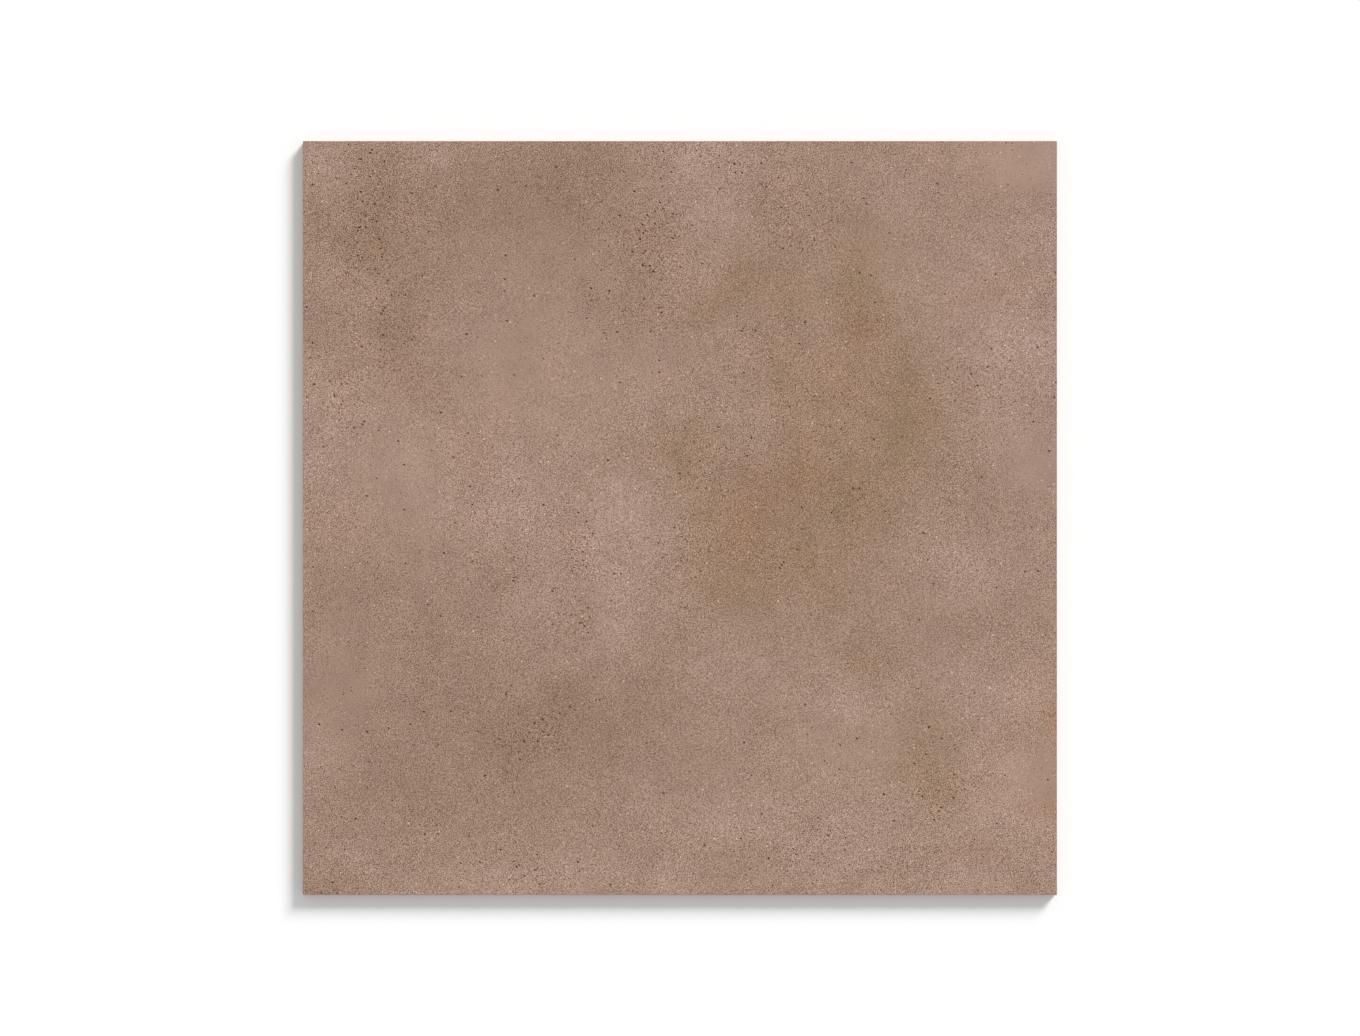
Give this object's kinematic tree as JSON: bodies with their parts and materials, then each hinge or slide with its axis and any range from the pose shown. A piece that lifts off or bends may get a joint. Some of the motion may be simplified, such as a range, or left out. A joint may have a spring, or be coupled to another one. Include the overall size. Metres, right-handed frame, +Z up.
{
  "type": "floor tile",
  "caption": "Square concrete-look porcelain floor tile with a matt mottled brown wear face, ground square edges with a fine bevel, and a ribbed key pattern on the back.",
  "frame": {"origin": "middle of the back, on the plane of the key ribs' crests", "axes": "+Z up, out of the wear face; +X and +Y along the two pairs of sides, with +Y towards the top of the picture"},
  "size_m": [0.6, 0.6, 0.009],
  "materials": {
    "porcelain": "matte"
  },
  "bodies": {
    "root": {"floor_tile": "porcelain"}
  },
  "joints": []
}
